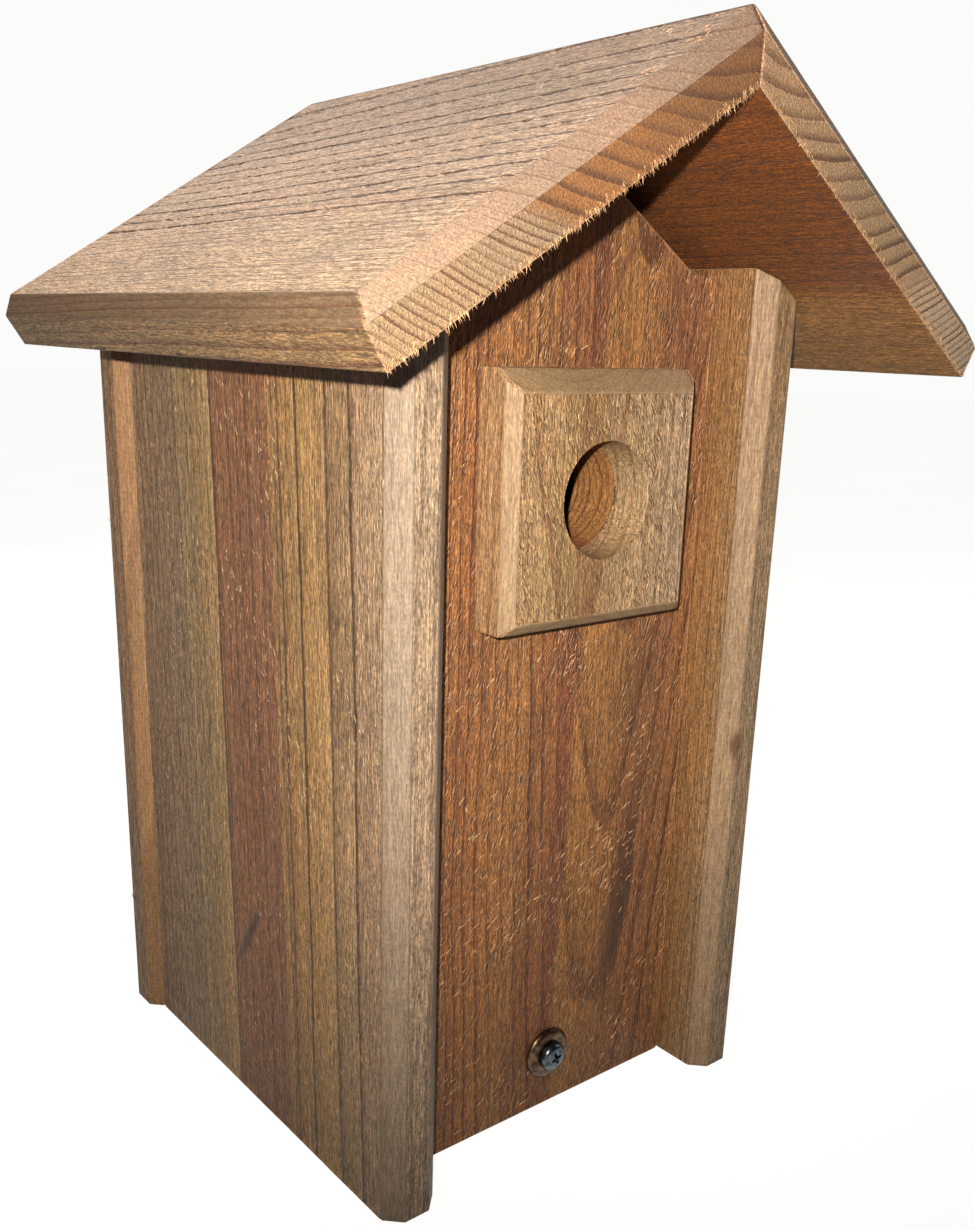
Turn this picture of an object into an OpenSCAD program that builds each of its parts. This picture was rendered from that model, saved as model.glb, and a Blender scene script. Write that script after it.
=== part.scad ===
// Nest box of sawn cedar boards: a gabled box with a front that swings out on two nails
// for cleaning, held shut by one screw low in the middle.
// X runs across the box, Y runs from the front to the back, Z is up.
// The origin is on the ground under the middle of the roof's depth, on the ridge's line.

/* [Body] */
// Width across the outer faces of the two side walls
body_w = 147; // [135:1:180]
// Depth of a side wall, from its front edge to the back board
body_d = 148; // [135:1:190]
// Height of a side wall at its outer face
side_h = 252; // [225:1:310]
// Thickness of the side walls
wall_t = 18.5; // [15:0.5:22]
// Thickness of the back board
back_t = 14; // [12:0.5:18]
// How far the back board stands out past each side wall
back_reveal = 4; // [2:0.5:8]
// Width of the slope planed on the side walls' front edges
wall_cut = 5; // [3:0.5:7]

/* [Roof] */
// Angle of each roof slope above the level
roof_pitch = 32; // [26:1:40]
// Length of a roof board down the slope, on its outer face
roof_run = 128.5; // [120:0.5:160]
// Thickness of the roof boards
roof_t = 15; // [12:0.5:18]
// How far the roof reaches out in front of the side walls
roof_front = 37; // [20:1:60]
// Planed slope on the roof's top edges, measured across the top
roof_cut_in = 4; // [2:0.5:6]
// Planed slope on the roof's top edges, measured down the edge
roof_cut_down = 5; // [2:0.5:7]

/* [Floor] */
// Thickness of the floor board
floor_t = 18; // [14:0.5:22]
// Height of the floor's underside above the bottom of the walls
floor_rise = 11; // [6:0.5:20]
// Length cut off each side of the floor's corners, so that water drains
drain_cut = 11; // [6:0.5:16]

/* [Front] */
// Thickness of the swinging front
door_t = 18; // [15:0.5:22]
// How far the front sits behind the side walls' front edges
door_recess = 18.5; // [17:0.5:26]
// Gap between the front and each side wall
door_gap = 1.2; // [0.8:0.1:2]
// Upright gap between the front's gable and the roof, for air
vent_gap = 9.3; // [6:0.1:12]
// Width of the level shoulder at each end of the front's gable
door_shoulder = 10.6; // [6:0.2:14]
// Depth of the pivot nails below the top of the side walls' outer face
pivot_drop = 12; // [8:1:20]
// Number of footholds sawn in the front's inner face
foothold_count = 6; // [3:1:7]

/* [Entrance] */
// Diameter of the entrance hole
entrance_d = 32; // [26:0.5:38]
// Depth of the entrance hole's centre below the top of the side walls' outer face
entrance_drop = 52; // [50:1:60]
// Width and height of the entrance block
block_w = 70; // [62:1:80]
// Thickness of the entrance block
block_t = 14; // [12:0.5:16]
// Planed slope on the block's sides and bottom
block_cut = 3.2; // [2:0.2:4]
// Planed slope on the block's top
block_top_cut = 6; // [4:0.5:8]

/* [Door screw] */
// Diameter of the door screw, over its thread
screw_d = 4.8; // [4.2:0.1:5.4]
// Length of the door screw under its head
screw_l = 32; // [30:0.5:34]
// Diameter of the screw's pan head
screw_head_d = 9.5; // [8.4:0.1:11]
// Diameter of the domed washer
washer_d = 17; // [14:0.5:20]
// Height of the domed washer
washer_h = 2.2; // [1.8:0.1:3]

/* [Nails] */
// Diameter of the pivot nails
pivot_d = 3; // [2.6:0.1:3.6]
// Length of the pivot nails under the head
pivot_l = 42; // [38:1:46]
// Diameter of the fixing brads
brad_d = 1.6; // [1.4:0.1:2]
// Length of the fixing brads
brad_l = 38; // [34:1:42]

/* [Hidden] */
$fn = 64;

// Clearances
run_fit = 0.08;      // around a shank that something turns or slides on
floor_fit = 0.2;     // between the floor's front edge and the closed front
arc_play = 0.5;      // around the screw's end in the floor, for the front's arc
foot_gap = 0.5;      // under the front, so that it clears the ground as it swings
swing_gap = 2.6;     // least upright gap over the front's shoulders
brad_set = 1;        // how far a brad's head is driven below the wood

// Where the boards stand
half_w = body_w / 2;
inner_half = half_w - wall_t;
roof_d = roof_front + body_d + back_t;
front_y = -roof_d / 2;
wall_y = front_y + roof_front;
door_y = wall_y + door_recess;
door_back_y = door_y + door_t;
floor_y = door_back_y + floor_fit;
back_y = wall_y + body_d;
rear_y = back_y + back_t;
wall_mid_x = half_w - wall_t / 2;
slope = tan(roof_pitch);
ridge_under = side_h + half_w * slope;
ridge_top = ridge_under + roof_t / cos(roof_pitch);
function under_z(x) = ridge_under - abs(x) * slope;

// The front, the entrance and the screw
door_half = inner_half - door_gap;
shoulder_x = door_half - door_shoulder;
shoulder_z = min(under_z(shoulder_x) - vent_gap, under_z(door_half) - swing_gap);
door_peak = shoulder_z + shoulder_x * slope;
pivot_y = door_y + door_t / 2;
pivot_z = side_h - pivot_drop;
entrance_z = side_h - entrance_drop;
block_y = door_y - block_t;
screw_z = floor_rise + floor_t / 2;
screw_y = door_y - washer_h;
foothold_w = 60;
foothold_h = 3;
foothold_deep = 2;
foothold_step = 12;
foothold_top = entrance_z - entrance_d / 2 - 16;

// Fasteners
pivot_head_d = 7;
pivot_head_h = 1.2;
pivot_point = 4;
brad_point = 3;
head_h = 3;
head_curve = 6.2;
screw_core_d = 3.4;
screw_plain = 13;
screw_pitch = 2.1;
screw_point = 5.5;
recess_w = 1.3;
recess_l = 5;
recess_deep = 1.8;
block_screw_d = 3.5;
block_screw_l = 28;
block_screw_head_d = 7;
block_screw_head_h = 2.6;
block_screw_point = 4;
block_screw_x = 26;
hang_d = 5;
hang_span = 145;
hang_z = 142.5;

// A cylinder along Y, from y0 to y1
module rod_y(d, x, z, y0, y1) {
    translate([x, y0, z]) rotate([-90, 0, 0]) cylinder(d = d, h = y1 - y0);
}

// An outline in X and Z, drawn out along Y from y0 to y1
module slab_y(points, y0, y1) {
    translate([0, y1, 0]) rotate([90, 0, 0]) linear_extrude(height = y1 - y0) polygon(points);
}

// A brad pointing down at the origin, its head at the top
module brad() {
    translate([0, 0, -brad_l]) cylinder(d1 = 0.4, d2 = brad_d, h = brad_point);
    translate([0, 0, brad_point - brad_l]) cylinder(d = brad_d, h = brad_l - brad_point);
}

// Brads driven plumb through the roof into the walls and the back board
module roof_brad_set() {
    head_z = ridge_top - wall_mid_x * slope - brad_set;
    for (side = [-1, 1], at = [0.14, 0.5, 0.86])
        translate([side * wall_mid_x, wall_y + at * body_d, head_z]) brad();
    for (side = [-1, 1])
        translate([side * inner_half / 2, back_y + back_t / 2,
                   ridge_top - inner_half / 2 * slope - brad_set]) brad();
}

// Brads driven forward through the back board into the walls and the floor
module back_brad_set() {
    for (side = [-1, 1], at = [0.22, 0.55, 0.88])
        translate([side * wall_mid_x, rear_y - brad_set, at * side_h]) rotate([-90, 0, 0]) brad();
    for (side = [-1, 1])
        translate([side * inner_half / 2, rear_y - brad_set, screw_z]) rotate([-90, 0, 0]) brad();
}

// Brads driven through the side walls into the floor's ends
module floor_brad_set() {
    for (side = [-1, 1], at = [0.25, 0.75])
        translate([side * (half_w - brad_set), floor_y + at * (back_y - floor_y), screw_z])
            rotate([0, side * 90, 0]) brad();
}

// A pivot nail through the wall on the side given, its head against the wall
module pivot_nail(side, play = 0) {
    translate([side * half_w, pivot_y, pivot_z]) rotate([0, side * 90, 0]) {
        translate([0, 0, -pivot_l]) cylinder(d1 = 0.6 + play, d2 = pivot_d + play, h = pivot_point);
        translate([0, 0, pivot_point - pivot_l])
            cylinder(d = pivot_d + play, h = pivot_l - pivot_point);
        if (play == 0) cylinder(d = pivot_head_d, h = pivot_head_h);
    }
}

// A countersunk screw driven from the front's inner face into the block
module block_screw(side) {
    translate([side * block_screw_x, door_back_y, entrance_z]) rotate([-90, 0, 0]) {
        translate([0, 0, -block_screw_head_h])
            cylinder(d1 = block_screw_d, d2 = block_screw_head_d, h = block_screw_head_h);
        translate([0, 0, block_screw_point - block_screw_l])
            cylinder(d = block_screw_d, h = block_screw_l - block_screw_point);
        translate([0, 0, -block_screw_l])
            cylinder(d1 = 0.6, d2 = block_screw_d, h = block_screw_point);
    }
}

// Side wall on the side given: both front edges planed, the top cut to the roof's slope
module side_wall(side) {
    difference() {
        intersection() {
            linear_extrude(height = side_h + wall_t * slope + 1)
                polygon([[side * half_w, back_y],
                         [side * half_w, wall_y + wall_cut],
                         [side * (half_w - wall_cut), wall_y],
                         [side * (inner_half + wall_cut), wall_y],
                         [side * inner_half, wall_y + wall_cut],
                         [side * inner_half, back_y]]);
            slab_y([[-half_w, 0], [half_w, 0], [half_w, side_h], [0, ridge_under], [-half_w, side_h]],
                   wall_y, back_y);
        }
        pivot_nail(side);
        roof_brad_set();
        back_brad_set();
        floor_brad_set();
    }
}

module left_wall() {
    color("#9C7F5D") side_wall(-1);
}

module right_wall() {
    color("#B58C5A") side_wall(1);
}

// Back board: gabled, a little wider than the box, its upright front edges planed
module back_board() {
    reach = half_w + back_reveal;
    color("#A5794C") difference() {
        intersection() {
            linear_extrude(height = ridge_under)
                polygon([[-reach, rear_y], [reach, rear_y], [reach, back_y + back_reveal],
                         [half_w, back_y], [-half_w, back_y], [-reach, back_y + back_reveal]]);
            slab_y([[-reach, 0], [reach, 0], [reach, under_z(reach)], [0, ridge_under],
                    [-reach, under_z(reach)]], back_y, rear_y);
        }
        for (end = [-1, 1])
            rod_y(hang_d, 0, hang_z + end * hang_span / 2, back_y - 1, rear_y + 1);
        roof_brad_set();
        back_brad_set();
    }
}

// Floor: corners cut off for drainage, bored for the screw's end
module floor_board() {
    color("#A98558") difference() {
        translate([0, 0, floor_rise]) linear_extrude(height = floor_t)
            polygon([[drain_cut - inner_half, floor_y], [inner_half - drain_cut, floor_y],
                     [inner_half, floor_y + drain_cut], [inner_half, back_y - drain_cut],
                     [inner_half - drain_cut, back_y], [drain_cut - inner_half, back_y],
                     [-inner_half, back_y - drain_cut], [-inner_half, floor_y + drain_cut]]);
        rod_y(screw_d + 2 * arc_play, 0, screw_z, floor_y - 1, screw_y + screw_l + 2);
        back_brad_set();
        floor_brad_set();
    }
}

// Roof board on the side given: mitred plumb at the ridge, square at the eave,
// its top edges planed at the front, the back and the eave
module roof_board(side) {
    difference() {
        slab_y([[0, ridge_under], [0, ridge_top],
                [side * (roof_run - roof_cut_in) * cos(roof_pitch),
                 ridge_top - (roof_run - roof_cut_in) * sin(roof_pitch)],
                [side * (roof_run * cos(roof_pitch) - roof_cut_down * sin(roof_pitch)),
                 ridge_top - roof_run * sin(roof_pitch) - roof_cut_down * cos(roof_pitch)],
                [side * (roof_run * cos(roof_pitch) - roof_t * sin(roof_pitch)),
                 ridge_top - roof_run * sin(roof_pitch) - roof_t * cos(roof_pitch)]],
               front_y, rear_y);
        for (end = [-1, 1]) roof_end_cut(side, end);
        roof_brad_set();
    }
}

// The wedge planed off a roof board's top edge at the front (end -1) or the back (end 1)
module roof_end_cut(side, end) {
    over = 1;
    grow = roof_cut_down / roof_cut_in;
    translate([0, end * roof_d / 2, ridge_top]) rotate([0, side * roof_pitch, 0])
        rotate([0, 90, 0]) translate([0, 0, -roof_run * 1.2]) linear_extrude(height = roof_run * 2.4)
            polygon([[-over, -end * (roof_cut_in + over / grow)], [-over, end * over],
                     [roof_cut_down + over * grow, end * over]]);
}

module roof_left() {
    color("#C9AE88") roof_board(-1);
}

module roof_right() {
    color("#A87D4E") roof_board(1);
}

// Swinging front: gabled, bored for the entrance, the pivots and the screw
module front_door() {
    color("#9A6A43") difference() {
        slab_y([[-door_half, foot_gap], [door_half, foot_gap], [door_half, shoulder_z],
                [shoulder_x, shoulder_z], [0, door_peak], [-shoulder_x, shoulder_z],
                [-door_half, shoulder_z]], door_y, door_back_y);
        rod_y(entrance_d, 0, entrance_z, door_y - 1, door_back_y + 1);
        rod_y(screw_d + 2 * run_fit, 0, screw_z, door_y - 1, door_back_y + 1);
        for (side = [-1, 1]) {
            pivot_nail(side, 2 * run_fit);
            block_screw(side);
        }
        for (i = [0 : foothold_count - 1])
            translate([-foothold_w / 2, door_back_y - foothold_deep,
                       foothold_top - i * foothold_step - foothold_h])
                cube([foothold_w, foothold_deep + 1, foothold_h]);
    }
}

// Entrance block: all four front edges planed, the top one wider
module entrance_block() {
    half = block_w / 2;
    top = entrance_z + half;
    foot = entrance_z - half;
    color("#CBA577") difference() {
        intersection() {
            linear_extrude(height = top)
                polygon([[-half, door_y], [-half, block_y + block_cut],
                         [block_cut - half, block_y], [half - block_cut, block_y],
                         [half, block_y + block_cut], [half, door_y]]);
            translate([-half, 0, 0]) rotate([90, 0, 90]) linear_extrude(height = block_w)
                polygon([[door_y, foot], [door_y, top], [block_y + block_top_cut, top],
                         [block_y, top - block_top_cut], [block_y, foot + block_cut],
                         [block_y + block_cut, foot]]);
        }
        rod_y(entrance_d, 0, entrance_z, block_y - 1, door_y + 1);
        for (side = [-1, 1]) block_screw(side);
    }
}

module block_screws() {
    color("#8C8C88") for (side = [-1, 1]) block_screw(side);
}

module pivot_nails() {
    color("#8C8C88") for (side = [-1, 1]) pivot_nail(side);
}

// Door screw: domed pan head with a crossed recess, plain neck, ridged thread and point
module door_screw() {
    head_r = screw_head_d / 2;
    core_r = screw_core_d / 2;
    crest_r = screw_d / 2;
    sag = head_curve - sqrt(head_curve * head_curve - head_r * head_r);
    ridges = floor((screw_l - screw_plain - screw_point) / screw_pitch);
    ridge = [[core_r, 0.1], [crest_r, 0.45], [crest_r, 0.6], [core_r, 0.95]];
    thread = [for (i = [0 : ridges - 1], p = ridge)
              [p[0], screw_plain + (i + p[1]) * screw_pitch]];
    dome = [for (a = [0 : 0.1 : 1])
            let (r = head_r * (1 - a)) [r, -head_h - sqrt(head_curve * head_curve - r * r)
                                            + head_curve - sag + min(sag, head_h - 1)]];
    color("#4A4F58") difference() {
        translate([0, screw_y, screw_z]) rotate([-90, 0, 0])
            rotate_extrude()
                polygon(concat([[0, -head_h]], [for (i = [len(dome) - 2 : -1 : 0]) dome[i]],
                               [[head_r, 0], [crest_r, 0], [crest_r, screw_plain]], thread,
                               [[core_r, screw_l - screw_point], [0, screw_l]]));
        for (turn = [0, 90])
            translate([0, screw_y - head_h - 1, screw_z]) rotate([0, turn, 0])
                translate([-recess_l / 2, 0, -recess_w / 2])
                    cube([recess_l, recess_deep + 1, recess_w]);
    }
}

// Domed washer under the screw's head
module screw_washer() {
    land = screw_head_d / 2 - 0.2;
    rim = washer_d / 2;
    rise = [for (a = [0 : 0.125 : 1]) [rim - (rim - land) * (1 - cos(90 * a)),
                                       -0.6 - (washer_h - 0.6) * sin(90 * a)]];
    color("#4B3A2C") translate([0, door_y, screw_z]) rotate([-90, 0, 0])
        rotate_extrude()
            polygon(concat([[screw_d / 2 + run_fit, 0], [rim, 0]], rise,
                           [[screw_d / 2 + run_fit, -washer_h]]));
}

module roof_brads() {
    color("#8C8C88") roof_brad_set();
}

module back_brads() {
    color("#8C8C88") back_brad_set();
}

module floor_brads() {
    color("#8C8C88") floor_brad_set();
}

back_board();
left_wall();
right_wall();
floor_board();
roof_left();
roof_right();
front_door();
entrance_block();
block_screws();
pivot_nails();
door_screw();
screw_washer();
roof_brads();
back_brads();
floor_brads();
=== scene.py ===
"""Looks of a nest box sawn from rough cedar boards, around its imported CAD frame.

Every length below is in millimetres unless a name ends in _m. MM turns it to metres.
X runs across the box, Y from the front to the back, Z up.
"""
import math

import bmesh
import bpy
from mathutils import Matrix, Vector, noise


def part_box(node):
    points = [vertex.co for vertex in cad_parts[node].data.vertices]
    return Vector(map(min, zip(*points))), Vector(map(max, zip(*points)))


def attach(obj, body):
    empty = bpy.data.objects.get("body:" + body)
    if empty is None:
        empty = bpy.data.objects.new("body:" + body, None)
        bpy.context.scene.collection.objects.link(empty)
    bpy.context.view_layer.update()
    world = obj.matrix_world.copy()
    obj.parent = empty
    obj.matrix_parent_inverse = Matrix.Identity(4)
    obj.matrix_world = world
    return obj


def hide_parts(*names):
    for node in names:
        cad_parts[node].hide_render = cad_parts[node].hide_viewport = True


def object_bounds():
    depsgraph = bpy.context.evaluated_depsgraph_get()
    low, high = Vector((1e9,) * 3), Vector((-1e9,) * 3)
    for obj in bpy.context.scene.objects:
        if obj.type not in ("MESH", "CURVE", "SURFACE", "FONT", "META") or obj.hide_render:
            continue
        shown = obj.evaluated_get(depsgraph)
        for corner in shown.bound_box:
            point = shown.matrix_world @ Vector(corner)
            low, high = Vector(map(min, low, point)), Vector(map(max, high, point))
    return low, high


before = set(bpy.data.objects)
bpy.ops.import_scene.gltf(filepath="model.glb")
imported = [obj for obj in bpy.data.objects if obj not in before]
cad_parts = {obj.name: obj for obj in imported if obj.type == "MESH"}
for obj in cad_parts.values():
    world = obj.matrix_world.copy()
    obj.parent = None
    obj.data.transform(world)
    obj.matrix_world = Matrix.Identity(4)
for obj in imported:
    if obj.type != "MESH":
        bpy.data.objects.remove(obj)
cad_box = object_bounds()
scene = bpy.context.scene
MM = 0.001


# ---------------------------------------------------------------- small tools
def linear(code):
    """An sRGB hex colour as the linear colour that a shader wants."""
    parts = [int(code[i:i + 2], 16) / 255 for i in (1, 3, 5)]
    return (*(p / 12.92 if p <= 0.04045 else ((p + 0.055) / 1.055) ** 2.4 for p in parts), 1.0)


def add(tree, kind, inputs=None, out=0, stops=None, **settings):
    """Adds one node with its settings, values and links, and returns one of its outputs."""
    made = tree.nodes.new(kind)
    for name, value in settings.items():
        setattr(made, name, value)
    for key, value in (inputs or {}).items():
        if isinstance(value, bpy.types.NodeSocket):
            tree.links.new(value, made.inputs[key])
        else:
            made.inputs[key].default_value = value
    for i, (place, code) in enumerate(stops or ()):
        ramp = made.color_ramp.elements
        spot = ramp[i] if i < 2 else ramp.new(place)
        spot.position = place
        spot.color = linear(code)
    return made.outputs[out] if made.outputs else made


def blank_material(name):
    """A new material with an empty tree, and that tree."""
    made = bpy.data.materials.new(name)
    made.use_nodes = True
    made.node_tree.nodes.clear()
    return made, made.node_tree


def grained(tree, place, size, detail=2.0, roughness=0.5):
    """Noise drawn out to a size: its waves in each mm across, through and along the grain."""
    drawn = add(tree, "ShaderNodeVectorMath", {0: place, 1: size}, operation="MULTIPLY")
    return add(tree, "ShaderNodeTexNoise", {"Vector": drawn, "Scale": 1.0, "Detail": detail,
               "Roughness": roughness})


def keep(mesh, name):
    """A finished mesh as an object at the origin."""
    piece = bpy.data.objects.new(name, mesh)
    scene.collection.objects.link(piece)
    return piece


def baked(piece):
    """The piece with its modifiers turned into a plain mesh."""
    graph = bpy.context.evaluated_depsgraph_get()
    mesh = bpy.data.meshes.new_from_object(piece.evaluated_get(graph))
    piece.modifiers.clear()
    piece.data = mesh
    return piece


def declare(piece, body, slot, *nodes):
    """Hangs the piece on the body that it rides on and hides the CAD nodes that it stands for. The slot is
    not used.
    """
    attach(piece, body)
    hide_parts(*nodes)


# ---------------------------------------------------------------- camera and light
def set_camera():
    """The camera stands low in front, to the left, at the height of the eaves."""
    yaw, pitch, roll = (math.radians(v) for v in (39.968, -16.804, 1.925))
    ahead = Vector((math.sin(yaw) * math.cos(pitch), math.cos(yaw) * math.cos(pitch), math.sin(pitch)))
    level = Vector((math.cos(yaw), -math.sin(yaw), 0))
    over = level.cross(ahead)
    side = math.cos(roll) * level + math.sin(roll) * over
    top = math.cos(roll) * over - math.sin(roll) * level
    data = bpy.data.cameras.new("camera")
    data.sensor_width = 36
    data.lens = 35.41
    data.shift_x, data.shift_y = -0.0109, 0.0689
    data.clip_start, data.clip_end = 0.01, 50
    made = bpy.data.objects.new("camera", data)
    turn = Matrix((side, top, -ahead)).transposed().to_4x4()
    made.matrix_world = Matrix.Translation(Vector((-235.06, -295.74, 242.75)) * MM) @ turn
    scene.collection.objects.link(made)
    scene.camera = made


def lamp(name, place, aim, size, power, colour, cone=0):
    """A round soft lamp of that width, or a spot with a soft edge if it has a cone in degrees."""
    data = bpy.data.lights.new(name, "SPOT" if cone else "AREA")
    data.energy = power
    data.color = linear(colour)[:3]
    if cone:
        data.shadow_soft_size = size * MM / 2
        data.spot_size, data.spot_blend = math.radians(cone), 1.0
    else:
        data.shape, data.size = "DISK", size * MM
    made = bpy.data.objects.new(name, data)
    made.location = Vector(place) * MM
    made.rotation_mode = "QUATERNION"
    made.rotation_quaternion = (Vector(aim) - Vector(place)).to_track_quat("-Z", "Y")
    scene.collection.objects.link(made)


def set_studio():
    """A small lamp beside the camera throws the thin shadows; large ones fill from above."""
    lamp("key", (-253, -296, 262), (-10, -40, 262), 6, 10.2, "#FFF9F2", cone=100)
    lamp("overhead", (-110, 400, 900), (0, 40, 250), 420, 6.6, "#FFF8F0")
    lamp("right_fill", (800, -300, 500), (0, 0, 150), 500, 1.2, "#F4F6FF")
    lamp("back_fill", (250, 900, 500), (0, 0, 150), 600, 3.0, "#FFF8F0")
    world = bpy.data.worlds.new("studio")
    scene.world = world
    world.use_nodes = True
    tree = world.node_tree
    tree.nodes.clear()
    ray = add(tree, "ShaderNodeLightPath")
    dim = add(tree, "ShaderNodeBackground", {"Color": linear("#E9EDF2"), "Strength": 0.02})
    white = add(tree, "ShaderNodeBackground", {"Color": linear("#FBFBFA"), "Strength": 1.0})
    both = add(tree, "ShaderNodeMixShader", {0: ray, 1: dim, 2: white})
    add(tree, "ShaderNodeOutputWorld", {"Surface": both})
    scene.view_settings.view_transform = "Standard"
    mesh = bpy.data.meshes.new("floor")
    bm = bmesh.new()
    bmesh.ops.create_circle(bm, cap_ends=True, segments=96, radius=6)
    bm.to_mesh(mesh)
    bm.free()
    floor = keep(mesh, "floor")
    # Matt white painted floor: an even pale ground with only soft shadows on it.
    paint, tree = blank_material("matt_white_floor_paint")
    place = add(tree, "ShaderNodeTexCoord", out="Object")
    mottle = add(tree, "ShaderNodeTexNoise", {"Vector": place, "Scale": 6.0, "Detail": 4.0})
    tone = add(tree, "ShaderNodeValToRGB", {0: mottle}, stops=((0.3, "#FAFAF9"), (0.7, "#FCFCFB")))
    glow = add(tree, "ShaderNodeEmission", {"Color": tone, "Strength": 0.985})
    dull = add(tree, "ShaderNodeBsdfDiffuse", {"Color": linear("#5C5B5A"), "Roughness": 0.6})
    mixed = add(tree, "ShaderNodeAddShader", {0: glow, 1: dull})
    add(tree, "ShaderNodeOutputMaterial", {"Surface": mixed})
    mesh.materials.append(paint)
    floor.visible_diffuse = False


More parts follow.
